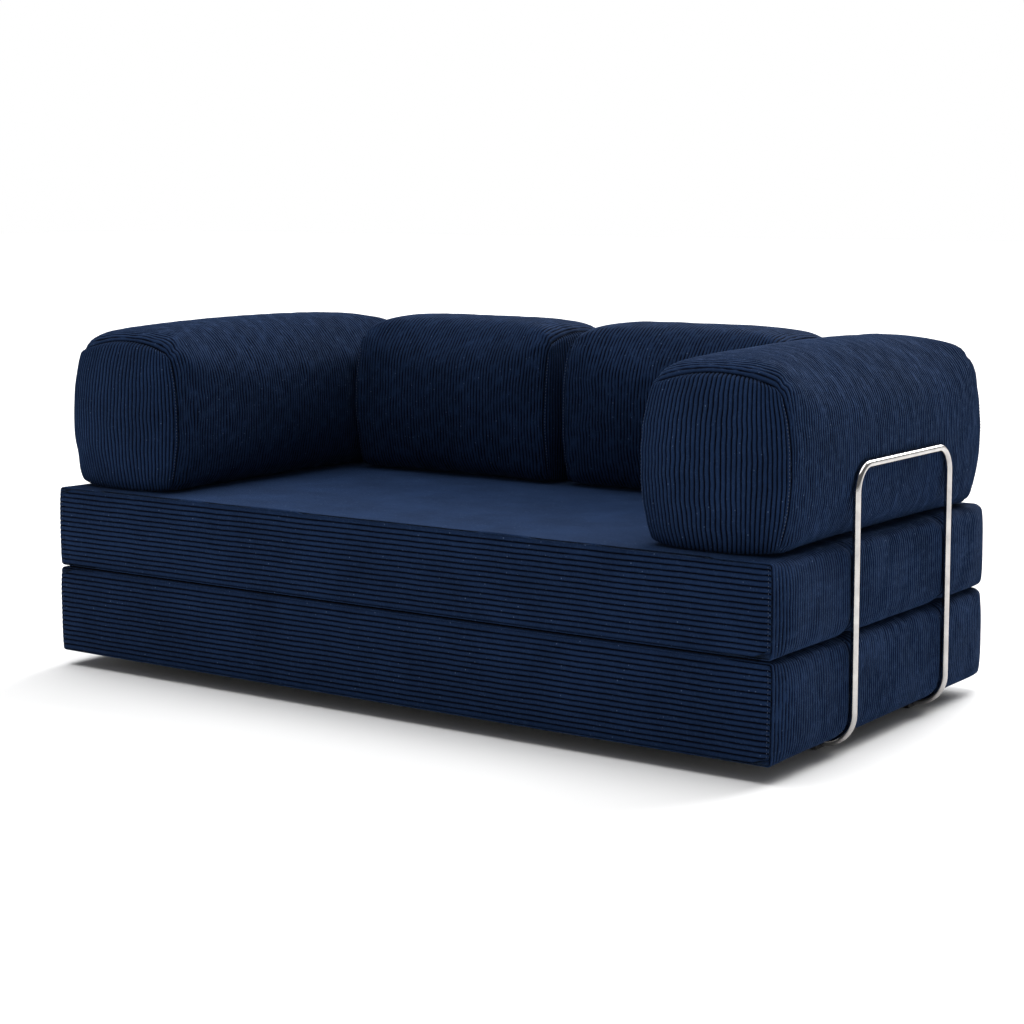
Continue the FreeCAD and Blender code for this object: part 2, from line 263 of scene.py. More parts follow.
def coons(loop, cells):
    """A grid stretched inside a closed loop of 4 * cells points, each point blended from the four edges."""
    i = np.arange(cells + 1)
    low, right = loop[i], loop[cells + i]
    high, left = loop[3 * cells - i], loop[(4 * cells - i) % (4 * cells)]
    a = (i / cells)[:, None, None]
    b = (i / cells)[None, :, None]
    edges = (1 - b) * low[:, None] + b * high[:, None] + (1 - a) * left[None] + a * right[None]
    corners = ((1 - a) * (1 - b) * low[0] + a * (1 - b) * low[-1]
               + (1 - a) * b * high[0] + a * b * high[-1])
    return edges - corners


# ---------------------------------------------------------------- bolsters

CELLS = 24                 # cells of the form along each side of an end panel
RING = 4 * CELLS           # points of the form round a bolster
ROW = 0.0135               # spacing of the form's rows along a bolster
COLUMNS = 128              # lines of the finished skin round a bolster
CAP_COLUMNS = 45           # and across each wale of its end panels
CLOTH = {
    "quality": 6, "mass": 0.25, "tension_stiffness": 20, "compression_stiffness": 30,
    "shear_stiffness": 12, "bending_stiffness": 4.0, "use_pressure": True, "uniform_pressure_force": 4.0,
}
AIR_STEPS = 22             # steps of the simulation
AIR_TRAVEL = 0.012         # the furthest that air pushes the skin


def bolster_grid(width, height, length, rows, barrel):
    """The cut shape of a bolster along Y: rows of rounded squares that stand on one level.

    At the two seams the square is smallest, with pinched corners and bowed sides. Within a hand's
    width it swells and its corners ease to large radii, and it swells on gently to the middle, like a
    barrel, by the share of its height given."""
    ring = np.arange(RING)[None, :] / CELLS
    t = np.linspace(0, 1, rows)[:, None]
    from_seam = np.minimum(t, 1 - t) * length
    ease = 1 - np.exp(-from_seam / 0.065)
    near = np.exp(-from_seam / 0.026)
    arch = barrel * np.sin(math.pi * t)
    across, up = square_loop(ring, 1.0, 1.0, 0.04 + 0.09 * ease, 0.06 + 0.27 * ease)
    bow = 1 + 0.17 * np.sin(math.pi * (ring % 1.0)) * (0.15 + 0.85 * near)
    wide = 0.985 - 0.10 * near + 0.2 * arch
    tall = 0.965 - 0.13 * near + arch
    lift = 0.006 * near
    return np.stack([across * width * wide * bow, np.broadcast_to((t - 0.5) * length, across.shape),
                     ((up - 0.5) * bow + 0.5) * height * tall + lift], -1)


def cap_numbers(row_start, inner_start):
    """Numbers of an end panel's points: its edge is a row of the body, its inside has numbers of its own."""
    i = np.arange(CELLS + 1)
    numbers = np.empty((CELLS + 1, CELLS + 1), int)
    numbers[i, 0] = i
    numbers[CELLS, i] = CELLS + i
    numbers[i, CELLS] = 3 * CELLS - i
    numbers[0, i] = (RING - i) % RING
    numbers += row_start
    inside = np.arange((CELLS - 1) ** 2).reshape(CELLS - 1, CELLS - 1)
    numbers[1:-1, 1:-1] = inner_start + inside
    return numbers


def inflate(points, faces, limit):
    """The skin filled out by cloth simulation: air pressure, no gravity, and travel kept under a limit."""
    mesh = mesh_from("filling", points, faces)
    skin = bpy.data.objects.new("filling", mesh)
    bpy.context.collection.objects.link(skin)
    cloth = skin.modifiers.new("cloth", "CLOTH")
    for key, value in CLOTH.items():
        setattr(cloth.settings, key, value)
    cloth.settings.effector_weights.gravity = 0
    cloth.collision_settings.use_collision = False
    cloth.point_cache.frame_start = 1
    cloth.point_cache.frame_end = AIR_STEPS + 2
    scene = bpy.context.scene
    for step in range(1, AIR_STEPS + 1):
        scene.frame_set(step)
    shown = skin.evaluated_get(bpy.context.evaluated_depsgraph_get())
    filled = np.zeros(len(points) * 3, np.float32)
    shown.data.vertices.foreach_get("co", filled)
    scene.frame_set(1)
    bpy.data.objects.remove(skin)
    bpy.data.meshes.remove(mesh)
    travel = filled.reshape(-1, 3).astype(float) - points
    far = np.linalg.norm(travel, axis=1, keepdims=True) + 1e-9
    return points + travel / far * limit * np.tanh(far / limit)


def evened(values, faces, passes):
    """Values at a mesh's points, each moved half-way to the mean of its neighbours, several times."""
    first = faces.ravel()
    second = np.roll(faces, -1, axis=1).ravel()
    start, end = np.concatenate([first, second]), np.concatenate([second, first])
    count = np.bincount(start, minlength=len(values))[:, None]
    for _ in range(passes):
        total = np.stack([np.bincount(start, values[end, k], len(values)) for k in range(3)], 1)
        values = (values + total / count) / 2
    return values


def bolster_form(width, height, length, barrel, cap_dome, seed):
    """The filled form of a bolster along its own Y: a body and two end panels that share its end rows."""
    body_length = length - 2 * cap_dome
    rows = int(round(body_length / ROW)) + 1
    body = bolster_grid(width, height, body_length, rows, barrel)
    body_count = rows * RING
    inner = (CELLS - 1) ** 2
    front_numbers = cap_numbers(0, body_count)
    rear_numbers = cap_numbers((rows - 1) * RING, body_count + inner)
    points = np.concatenate([body.reshape(-1, 3), np.zeros((2 * inner, 3))])
    a = np.linspace(-1, 1, CELLS + 1)
    dome = ((1 - a[:, None] ** 2) * (1 - a[None, :] ** 2)) ** 0.62 * cap_dome
    for numbers, row, side in ((front_numbers, body[0], -1), (rear_numbers, body[-1], 1)):
        cap = coons(row, CELLS)
        cap[..., 1] += side * dome
        points[numbers] = cap
    points += 0.0012 * unevenness(points, 0.06, seed)[:, None] * np.array([0.35, 0.6, 0.35])
    centre = np.array([0, 0, height / 2])
    cap_quads = grid_quads(CELLS + 1, CELLS + 1)
    faces = np.concatenate([
        facing_out(points, grid_quads(rows, RING, wrap=True), centre),
        facing_out(points, front_numbers.ravel()[cap_quads], centre),
        facing_out(points, rear_numbers.ravel()[cap_quads], centre),
    ])
    travel = evened(inflate(points, faces, AIR_TRAVEL) - points, faces, 30)
    broad = evened(travel, faces, 90)
    ends = np.union1d(front_numbers, rear_numbers)
    travel[ends[:, None], [0, 2]] = broad[ends[:, None], [0, 2]]
    points = points + travel
    folds = seam_corner_folds(body_length, rows, width)
    skin = points[:body_count].reshape(rows, RING, 3)
    inwards = centre - skin
    inwards[..., 1] = 0
    skin += inwards / np.linalg.norm(inwards, axis=-1, keepdims=True) * folds[..., None]
    return points, rows, front_numbers, rear_numbers


def seam_corner_folds(length, rows, width):
    """Depth of the small folds that gather at the four corners of each seam: ripples in the angle about
    a corner, fading with the distance from it."""
    from_corner = (np.arange(RING) / CELLS + 0.5) % 1.0 - 0.5
    beside = (from_corner * width)[None, :]
    t = np.linspace(0, 1, rows)[:, None]
    from_seam = np.minimum(t, 1 - t) * length + 0.004
    reach = np.hypot(from_seam, beside)
    angle = np.arctan2(beside, from_seam)
    fold = 0.5 + 0.5 * np.cos(7 * angle)
    return 0.0045 * fold * np.exp(-(reach / 0.05) ** 2) * rise(reach, 0.0, 0.02)


def fit_box(points, low, high):
    """Points stretched along each axis so that their box is the one given."""
    least, most = points.min(0), points.max(0)
    return low + (points - least) / (most - least) * (high - low)


def pressed_flat(grid, axis, level, box_low, box_high, margin):
    """A grid drawn onto the plane axis = level inside a box, easing off over a margin round it."""
    inside = np.ones(grid.shape[:-1])
    for k in range(3):
        if k != axis:
            inside *= rise(grid[..., k], box_low[k] - margin, box_low[k])
            inside *= 1 - rise(grid[..., k], box_high[k], box_high[k] + margin)
    near = rise(np.abs(grid[..., axis] - level), 0.06, 0.03)
    grid = grid.copy()
    grid[..., axis] += (level - grid[..., axis]) * inside * near
    return grid, inside * near


# ---------------------------------------------------------------- contacts

HOOP_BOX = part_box("right_hoop")
HOOP_PLANE = HOOP_BOX[1][0] - TUBE_RADIUS    # the side hoops' legs, from the middle
HOOP_LEGS = (HOOP_BOX[0][1] + TUBE_RADIUS, HOOP_BOX[1][1] - TUBE_RADIUS)
HOOP_TOP = HOOP_BOX[1][2] - TUBE_RADIUS
TOP_BEND = 0.054
BOTTOM_BEND = 0.066


def off_the_hoop(y, z):
    """Distance, in the plane of a side hoop, from its legs and top tube: an arch with rounded shoulders."""
    middle, half = sum(HOOP_LEGS) / 2, (HOOP_LEGS[1] - HOOP_LEGS[0]) / 2
    beside = np.abs(y - middle) - (half - TOP_BEND)
    above = z - (HOOP_TOP - TOP_BEND)
    outside = np.hypot(np.maximum(beside, 0), np.maximum(above, 0))
    corner = outside + np.minimum(np.maximum(beside, above), 0)
    return np.abs(corner - TOP_BEND)


def dented_by_hoop(grid, depth):
    """The outer side of a piece pressed in by a side hoop's tube, with a soft dip around the tube."""
    grid = grid.copy()
    near = np.exp(-(off_the_hoop(grid[..., 1], grid[..., 2]) / 0.014) ** 2)
    limit = HOOP_PLANE - TUBE_RADIUS - 0.0016 + depth * (1 - near)
    side = np.sign(grid[..., 0])
    grid[..., 0] = -side * soft_floor(-side * grid[..., 0], -limit, 0.0012)
    return grid


def laid_on_seat(grid):
    """A bolster's underside flattened on the seat."""
    grid = grid.copy()
    grid[..., 2] = soft_floor(grid[..., 2], SEAT + 0.0012, 0.0035)
    return grid


ARM_INNER = abs(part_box("right_arm_cover_sheet")[0][0])
BACK_OUTER = abs(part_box("back_right_end_panels")[1][0])
BACK_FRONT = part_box("back_right_cover_sheet")[0][1]


def beside_neighbours(grid, name):
    """A bolster flattened where it meets its neighbours: arms against backs, and back against back."""
    grid = grid.copy()
    side = 1.0 if "right" in name else -1.0
    out = side * grid[..., 0]
    if name.startswith("back"):
        out = soft_floor(out, 0.0006, 0.0025)
        out = -soft_floor(-out, -(BACK_OUTER + 0.001), 0.0025)
    else:
        beside_back = rise(grid[..., 1], BACK_FRONT - 0.02, BACK_FRONT + 0.03)
        pressed = soft_floor(out, ARM_INNER - 0.0012, 0.0025)
        out = out + (pressed - out) * beside_back
    grid[..., 0] = side * out
    return grid


# ---------------------------------------------------------------- corduroy

def lay_wales(grid, centre, depth, seed, wrap, wander, crush):
    """Ridges laid over a smooth grid whose rows run along the wales, with SAMPLES rows to a wale.

    Each row first wanders a little across the wales, and then sinks along the normal by depth times
    how far it is below a crest, less where the pile is crushed. Returns the grid and the wales' heights."""
    rows = len(grid)
    from_end = np.minimum(np.arange(rows), rows - 1 - np.arange(rows))
    fade = rise(from_end, 0, 2.0 * SAMPLES)[:, None]
    drift = unevenness(grid, 0.11, seed) + 0.5 * unevenness(grid, 0.035, seed + 1)
    down, _ = slopes(grid, wrap)
    grid = grid + down * (wander * drift * fade)[..., None]
    phase = np.arange(rows)[:, None] / SAMPLES
    height = np.broadcast_to(wale_height(phase), grid.shape[:2])
    uneven = 0.22 * unevenness(grid, 0.03, seed + 2)
    uneven = uneven + 0.22 * unevenness(grid, 0.011, seed + 3, waves=12)
    hollow = (1 - height) * np.clip(1 + crush * uneven, 0.15, 1.5)
    grid = grid - normals_of(grid, centre, wrap) * (hollow * depth)[..., None]
    return grid, np.clip(1 - hollow, 0, 1)


def edge_numbers(rows, columns, first):
    """Numbers of a grid's edge points in one round: up the rows of column 0, across, back and home."""
    number = first + np.arange(rows * columns).reshape(rows, columns)
    return np.concatenate([number[:-1, 0], number[-1, :-1], number[:0:-1, -1], number[0, :0:-1]])


def sewn(faces, first, second, points):
    """Triangles that join two loops of point numbers, turned to agree with the faces beside them."""
    triangles = sew(first, turns(points[first]), second, turns(points[second]))
    here, after = first[0], first[1]
    same_way = ((faces == here) & (np.roll(faces, -1, axis=1) == after)).any()
    return triangles[:, ::-1] if same_way else triangles


def aligned(ring, edge, points):
    """Two loops of point numbers turned the same way round, both starting beside the ring's first point."""

    def turn_sign(loop):
        p = points[loop]
        middle = p.mean(0)
        return np.sign(np.cross(p - middle, np.roll(p, -1, 0) - middle)[:, 1].sum())

    if turn_sign(ring) != turn_sign(edge):
        edge = edge[::-1]
    nearest = np.linalg.norm(points[edge] - points[ring[0]], axis=1).argmin()
    return ring, np.roll(edge, -nearest)


def skin_of(name, patches, centre, align=False):
    """One closed mesh from a wrapped grid and two end grids, which are sewn to its first and last rows.

    Each patch is a grid of points and its wales' heights, which materials read to paint shade into the
    grooves."""
    points = np.concatenate([grid.reshape(-1, 3) for grid, _ in patches])
    faces, loops, at = [], [], 0
    for index, (grid, _) in enumerate(patches):
        rows, columns = grid.shape[:2]
        faces.append(facing_out(points, grid_quads(rows, columns, index == 0, at), centre))
        if index == 0:
            loops = [np.arange(columns), (rows - 1) * columns + np.arange(columns)]
        else:
            loops.append(edge_numbers(rows, columns, at))
        at += rows * columns
    faces = np.concatenate(faces)
    triangles = []
    for ring, edge in (loops[::2], loops[1::2]):
        if align:
            ring, edge = aligned(ring, edge, points)
        triangles.append(sewn(faces, ring, edge, points))
    mesh = mesh_from(name, points, faces, np.concatenate(triangles))
    # The wale attribute holds the wales' heights, from which the material paints shade into the grooves
    paint(mesh, "wale", np.concatenate([height.ravel() for _, height in patches]))
    return mesh


# One stitch: a spindle with its points at -1 and 1 along the seam and a square waist
STITCH = np.array([
    [-1, 0, 0], [-0.6, 0.8, 0], [-0.6, 0, 0.9], [-0.6, -0.8, 0], [-0.6, 0, -0.9],
    [0.6, 0.8, 0], [0.6, 0, 0.9], [0.6, -0.8, 0], [0.6, 0, -0.9], [1, 0, 0],
])
STITCH_ENDS = np.array([
    [0, 2, 1], [0, 3, 2], [0, 4, 3], [0, 1, 4], [9, 5, 6], [9, 6, 7], [9, 7, 8], [9, 8, 5],
])
STITCH_SIDES = np.array([[1, 2, 6, 5], [2, 3, 7, 6], [3, 4, 8, 7], [4, 1, 5, 8]])


STITCH_PITCH = 0.0072
STITCH_SIZE = np.array([0.0016, 0.0008, 0.0008 * 0.8])     # half its length, width and height


def stitch_arrays(line, out):
    """Thread stitches along a line of points: one small spindle every pitch, lying on the surface."""
    steps = np.linalg.norm(np.diff(line, axis=0), axis=1)
    run = np.concatenate([[0], np.cumsum(steps)])
    at = np.arange(STITCH_PITCH / 2, run[-1], STITCH_PITCH)
    middle, ahead, facing = (
        np.stack([np.interp(at + shift, run, values[:, k]) for k in range(3)], 1)
        for shift, values in ((0, line), (STITCH_PITCH / 4, line), (0, out))
    )
    along = ahead - middle
    along /= np.linalg.norm(along, axis=1, keepdims=True) + 1e-12
    facing -= along * (facing * along).sum(1, keepdims=True)
    facing /= np.linalg.norm(facing, axis=1, keepdims=True) + 1e-12
    beside = np.cross(facing, along)
    x, y, z = ((STITCH * STITCH_SIZE)[None, :, k:k + 1] for k in range(3))
    points = middle[:, None] + x * along[:, None] + y * beside[:, None] + z * facing[:, None]
    return points.reshape(-1, 3)


def stitching(name, lines, body, material):
    """One piece that holds every stitch along some lines, each given with the way its surface faces."""
    points = np.concatenate([stitch_arrays(line, out) for line, out in lines])
    first = np.arange(0, len(points), len(STITCH))[:, None, None]
    quads = (STITCH_SIDES[None] + first).reshape(-1, 4)
    ends = (STITCH_ENDS[None] + first).reshape(-1, 3)
    return new_piece(name, mesh_from(name, points, quads, ends), material, body)


SEAM_DIP = 0.0032          # depth and width of the furrow along a bolster's seams
SEAM_WIDTH = 0.0065
BODY_DEPTH = 0.0016        # depth of the wales on a bolster's body,
SEAM_DEPTH = 0.0010        # how much more it is at the seams,
CAP_DEPTH = 0.0028         # and their depth on its end panels
STITCH_INSET = 3           # rows of an end panel from its upright seams to the stitches
SAG = 0.022                # how much of the form is pressed flat on the seat
TOP_RISE = 0.004           # how far the filled top stands above the cut end panels
CLEAR = 0.0004             # room kept to a solid neighbour


def bolster(name, material, thread, seed, barrel, cap_dome):
    """One filled bolster: the simulated form, fitted to its place, pressed by what it touches, with wales."""
    low, high = (np.array(corner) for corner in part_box(name + "_end_panels"))
    zip_low, zip_high = (np.array(corner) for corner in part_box(name + "_zip"))
    is_back = name.startswith("back")
    size = high - low
    width, length = (size[1], size[0]) if is_back else (size[0], size[1])
    form = bolster_form(width, size[2], length, barrel, cap_dome, seed)
    points, rows, front_numbers, rear_numbers = form
    if is_back:
        points = points[:, [1, 0, 2]]
    beyond = np.array([0.004 if is_back else 0.010, 0, 0])
    points = fit_box(points, low - beyond - [0, 0, SAG], high + beyond + [0, 0, TOP_RISE])
    along = 0 if is_back else 1
    centre = (low + high) / 2

    body = points[:rows * RING].reshape(rows, RING, 3)
    caps = [points[front_numbers], points[rear_numbers]]
    wales = int(round(length / WALE))
    body = smooth_at(body, np.linspace(0, rows - 1, wales * SAMPLES + 1), 0)
    body = smooth_at(body, np.arange(COLUMNS) * RING / COLUMNS, 1, wrap=True)
    cap_wales = int(round(width * 1.02 / CAP_WALE))
    caps = [smooth_at(smooth_at(cap, np.linspace(0, CELLS, cap_wales * SAMPLES + 1), 0),
                      np.linspace(0, CELLS, CAP_COLUMNS), 1) for cap in caps]

    def shaped(grid):
        grid = beside_neighbours(laid_on_seat(grid), name)
        if not is_back:
            grid = dented_by_hoop(grid, 0.010)
        return pressed_flat(grid, 1, zip_low[1] - CLEAR, zip_low, zip_high, 0.035)

    patches, lines = [], []
    for index, grid in enumerate([body] + caps):
        grid, flat = shaped(grid)
        wrap = index == 0
        if wrap:
            near = np.linspace(0, 1, len(grid))[:, None]
            from_seam = np.minimum(near, 1 - near) * length * np.ones(grid.shape[:2])
            end_side = np.where(near < 0.5, -1.0, 1.0) * np.ones(grid.shape[:2])
            depth = (BODY_DEPTH + SEAM_DEPTH * np.exp(-from_seam / 0.06)) * (1 - 0.9 * flat)
            wander, crush = 0.9, 1.5
        else:
            a = np.linspace(0, 1, len(grid))[:, None]
            b = np.linspace(0, 1, grid.shape[1])[None, :]
            from_seam = np.minimum(np.minimum(a, 1 - a) * width, np.minimum(b, 1 - b) * size[2])
            end_side = -1.0 if index == 1 else 1.0
            depth = CAP_DEPTH * (1 - 0.9 * flat)
            wander, crush = 0.15, 0.4
        dip = grid - centre
        dip[..., along] = 0
        dip /= np.linalg.norm(dip, axis=-1, keepdims=True) + 1e-9
        dip[..., along] = end_side
        smooth = grid
        grid = grid - dip * (SEAM_DIP * np.exp(-(from_seam / SEAM_WIDTH) ** 2))[..., None]
        grid, height = lay_wales(grid, centre, depth, seed + 10 * index, wrap, wander, crush)
        grid[..., 2] = np.maximum(grid[..., 2], SEAT + CLEAR)
        # The wale height is halved right at the seams, so the material paints shade along the seam furrow
        patches.append((grid, height * (1 - 0.5 * np.exp(-(from_seam / 0.004) ** 2))))
        if not wrap:
            normals = normals_of(smooth, centre)
            sunk = smooth - dip * (SEAM_DIP / 2)
            for row in (STITCH_INSET, -1 - STITCH_INSET):
                lines.append((sunk[row, 4:-4], normals[row, 4:-4]))
    mesh = skin_of(name + "_cushion", patches, centre)
    cushion = new_piece(name + "_cushion", mesh, material, name + "_bolster")
    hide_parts(name + "_cover_sheet", name + "_end_panels", name + "_foam")
    stitching(name + "_stitches", lines, name + "_bolster", thread)


# ---------------------------------------------------------------- mattresses

HALF_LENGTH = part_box("upper_cover_sheet")[1][0]
HALF_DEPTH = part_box("upper_rear_panel")[1][1]
END_RADIUS = 0.027         # of the end edges at a hoop's leg,
SOFT_RADIUS = 0.017        # between the legs,
SEAM_RADIUS = 0.008        # and at the front seam
EDGE_RADIUS = 0.003        # where the sheet turns in at the front
REAR_RADIUS = 0.024        # and at the rear
PANEL_COLUMNS = 120        # grid lines across a boxing panel
EDGE_STITCH = 0.8          # the stitched line's place, in columns from a panel's upright seam
PANEL_DEPTH = 0.0024       # how deep the wales of the boxing panels are
PANEL_SEAM = 0.005         # depth of the furrow beside a panel's seam,
PANEL_RISE = 0.0055        # how far the foam pushes the panel back out of it,
PANEL_SWELL = 0.0015       # and how much further in the middle
END_BULGE = 0.016
CROWN = 0.0015             # how far the open part of the seat rises
LUMPS = 0.0006
LEG_DIP = 0.004            # how far the sheet sinks at a hoop's leg, beyond the tube's own dent
STRIP_TUCK = 0.052         # how far each half of the hinge strip reaches between the mattresses


def stretch(start, end, spacing):
    """Evenly spaced places from start up to, but not including, end."""
    count = max(2, int(round(abs(end - start) / spacing)))
    return np.linspace(start, end, count, endpoint=False)


def mattress_section(low, high, radius):
    """The X-Z outline of a mattress and its outward normals, anticlockwise, with quarter-circle corners."""
    reach = HALF_LENGTH - radius
    quarter = np.arange(7) / 7 * math.pi / 2
    flat = stretch(-1, 1, 0.03 / HALF_LENGTH) * reach
    upright = (low + high) / 2 + stretch(-1, 1, 0.12) * ((high - low) / 2 - radius)
    pieces = []
    corners = ((1, low, -math.pi / 2), (1, high, 0), (-1, high, math.pi / 2), (-1, low, math.pi))
    runs = (
        (flat, np.full_like(flat, low), 0, -1),
        (np.full_like(upright, HALF_LENGTH), upright, 1, 0),
        (-flat, np.full_like(flat, high), 0, 1),
        (np.full_like(upright, -HALF_LENGTH), (low + high) - upright, -1, 0),
    )
    for (x, z, normal_x, normal_z), (side, level, start) in zip(runs, corners):
        ones = np.ones_like(x)
        pieces.append(np.stack([x, z, normal_x * ones, normal_z * ones], 1))
        angle = start + quarter
        centre_z = level + radius if level == low else level - radius
        arc_x, arc_z = np.cos(angle), np.sin(angle)
        arc_at = side * reach + radius * arc_x, centre_z + radius * arc_z
        pieces.append(np.stack([*arc_at, arc_x, arc_z], 1))
    return np.concatenate(pieces)


def corner_radius(y):
    """The radius of a mattress's end edges along Y: tight at the front, softer behind, full at the legs."""
    behind = rise(y, -HALF_DEPTH, -HALF_DEPTH + 0.07)
    at_leg = np.clip(sum(np.exp(-((y - leg) / 0.035) ** 4) for leg in HOOP_LEGS), 0, 1)
    soft = SEAM_RADIUS + (SOFT_RADIUS - SEAM_RADIUS) * behind
    return soft + (END_RADIUS - soft) * at_leg


def rounded_edge(distance, radius):
    """How far a surface has turned in at a distance from its edge, as on a quarter circle."""
    inside = np.clip(1 - distance / radius, 0, 1)
    return radius * (1 - np.sqrt(1 - inside ** 2))


def end_swell(y, z, low, high):
    """How far a mattress's end stands out from its plain box: most in the middle of its height."""
    tall = np.clip((z - low) / (high - low), 0, 1)
    to_edge = np.minimum(y + HALF_DEPTH, HALF_DEPTH - y)
    between = 1 - 0.75 * np.exp(-(to_edge / 0.035) ** 2)
    return END_BULGE * (1 - (2 * tall - 1) ** 4) ** 0.8 * between


def mattress(part, material, thread, seed):
    """One mattress: a wrap-round sheet with its wales along X, and two boxing panels with level wales."""
    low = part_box(part + "_cover_sheet")[0][2]
    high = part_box(part + "_cover_sheet")[1][2]
    centre = np.array([0, 0, (low + high) / 2])
    wales = int(round(2 * HALF_DEPTH / WALE))
    y = np.linspace(-HALF_DEPTH, HALF_DEPTH, wales * SAMPLES + 1)[:, None]
    tight, full = (mattress_section(low, high, radius) for radius in (0.0, END_RADIUS))
    section = tight + (full - tight) * (corner_radius(y) / END_RADIUS)[..., None]
    x, z, normal_x, normal_z = (section[..., k] for k in range(4))
    grid = np.stack([x, np.broadcast_to(y, x.shape), z], -1)
    outward = np.stack([normal_x, np.zeros_like(normal_x), normal_z], -1)

    is_end = np.abs(normal_x)
    out_x = np.abs(x)
    y = grid[..., 1]
    front_edge, rear_edge = y + HALF_DEPTH, HALF_DEPTH - y
    swell = end_swell(y, z, low, high) * is_end
    # The open part of the seat, between the arms and in front of the backs
    open_seat = (1 - rise(out_x, 0.56, 0.62)) * (1 - rise(y, 0.12, 0.2)) * (normal_z > 0.5)
    open_seat = open_seat * (part == "upper")
    lumps = LUMPS * unevenness(grid, 0.16, seed)
    pressed = (np.abs(normal_z) > 0.5) * (1 - open_seat)
    past_strip = rise(y, -HALF_DEPTH + STRIP_TUCK, -HALF_DEPTH + 2 * STRIP_TUCK)
    lumps = lumps + (np.minimum(lumps, 0) * past_strip - CLEAR - lumps) * pressed
    drop = rounded_edge(front_edge, EDGE_RADIUS) + rounded_edge(rear_edge, REAR_RADIUS)
    grid = grid + outward * (swell + open_seat * CROWN + lumps - drop)[..., None]
    pinch = 0.0012 * np.exp(-(front_edge / 0.004) ** 2) + 0.001 * np.exp(-(rear_edge / 0.006) ** 2)
    grid = grid - outward * pinch[..., None]
    dip = LEG_DIP * sum(np.exp(-((grid[..., 1] - leg) / 0.013) ** 2) for leg in HOOP_LEGS)
    grid[..., 0] -= np.sign(x) * dip * rise(out_x, HALF_LENGTH - 0.06, HALF_LENGTH - 0.01)
    grid[..., 2] -= np.sign(z - centre[2]) * dip * rise(out_x, HALF_LENGTH - 0.05, HALF_LENGTH - 0.01)
    grid = dented_by_hoop(grid, 0.012)

    at_end = np.maximum(is_end, rise(out_x, HALF_LENGTH - 0.16, HALF_LENGTH - 0.03))
    patches = rise(unevenness(grid * [1, 1, 0.3], 0.07, seed + 5), -1.2, 1.0)
    fresh = np.maximum(patches, np.exp(-front_edge / 0.05))
    depth = 0.00035 + (0.0006 + 0.0014 * fresh) * at_end
    sheet, sheet_height = lay_wales(grid, centre, depth, seed, wrap=True, wander=0.9, crush=1.5)
    # How much painted groove shade shows: a quarter of it on the tops, most on the ends and where the wales
    # are fresh
    painted_shade_height = 1 - (1 - sheet_height) * (0.25 + (0.45 + 0.3 * fresh) * at_end)

    patches, lines = [(sheet, painted_shade_height)], []
    for side, row in ((-1, grid[0]), (1, grid[-1])):
        panel, panel_height, stitched = boxing_panel(part, side, row, centre, seed + 40 + side)
        patches.append((panel, panel_height))
        lines += stitched
    mesh = skin_of(part + "_mattress", patches, centre, align=True)
    body = "upper_mattress" if part == "upper" else "base"
    piece = new_piece(part + "_mattress", mesh, material, body)
    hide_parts(part + "_cover_sheet", part + "_front_panel", part + "_rear_panel", part + "_foam")
    stitching(part + "_mattress_stitches", lines, body, thread)


def boxing_panel(part, side, row, centre, seed):
    """The front (side -1) or rear (side 1) panel of a mattress, inside the sheet's end row.

    Its rows are level and run from the outline's left to its right. It stands out from its seam, and
    most in the middle of its height."""
    low, high = row[:, 2].min(), row[:, 2].max()
    wales = int(round((high - low) / PANEL_WALE))
    z = np.linspace(low, high, wales * SAMPLES + 1)
    right = row[row[:, 0] > 0.8]
    right = right[np.argsort(right[:, 2])]
    half = np.interp(z, right[:, 2], right[:, 0])
    spacing = np.linspace(-1, 1, PANEL_COLUMNS)
    spacing = np.sign(spacing) * (1 - (1 - np.abs(spacing)) ** 1.15)
    x = half[:, None] * spacing[None, :]
    z_grid = np.broadcast_to(z[:, None], x.shape)
    to_top = np.minimum(z_grid - low, high - z_grid)
    to_side = half[:, None] - np.abs(x)
    from_seam = np.minimum(to_top, to_side)
    out = PANEL_RISE * (1 - np.exp(-(from_seam / 0.011)))
    out = out + PANEL_SWELL * (1 - (2 * (z_grid - low) / (high - low) - 1) ** 2)
    panel = np.stack([x, np.full_like(x, row[0, 1]), z_grid], -1)
    out = out + 0.0002 * unevenness(panel, 0.14, seed) * (1 - np.exp(-from_seam / 0.03))
    out = out - PANEL_SEAM
    depth = np.full_like(x, PANEL_DEPTH)
    panel[..., 1] += side * (out + PANEL_SEAM * np.exp(-from_seam / 0.002))
    if side > 0:
        zip_low, zip_high = (np.array(corner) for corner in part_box(part + "_zip"))
        panel, flat = pressed_flat(panel, 1, zip_low[1] - 0.0006, zip_low, zip_high, 0.02)
        depth = depth * (1 - 0.9 * flat)
    at_edges = np.array([EDGE_STITCH, PANEL_COLUMNS - 1 - EDGE_STITCH])
    edges = smooth_at(panel, at_edges, 1)[3:-3]
    edge_normals = smooth_at(normals_of(panel, centre), at_edges, 1)[3:-3]
    lines = [(edges[:, k], edge_normals[:, k]) for k in (0, 1)]
    panel, height = lay_wales(panel, centre, depth, seed, wrap=False, wander=0.22, crush=0.35)
    return panel, height, lines


# ---------------------------------------------------------------- steel hoops

def arc(centre, u_way, v_way, radius, start, end, steps=18):
    """Points on an arc in the plane of two unit vectors, and the tangents there, by angle in degrees."""
    angle = np.radians(np.linspace(start, end, steps))[:, None]
    turn = 1.0 if end > start else -1.0
    points = centre + radius * (np.cos(angle) * u_way + np.sin(angle) * v_way)
    tangents = turn * (np.cos(angle) * v_way - np.sin(angle) * u_way)
    return points, tangents


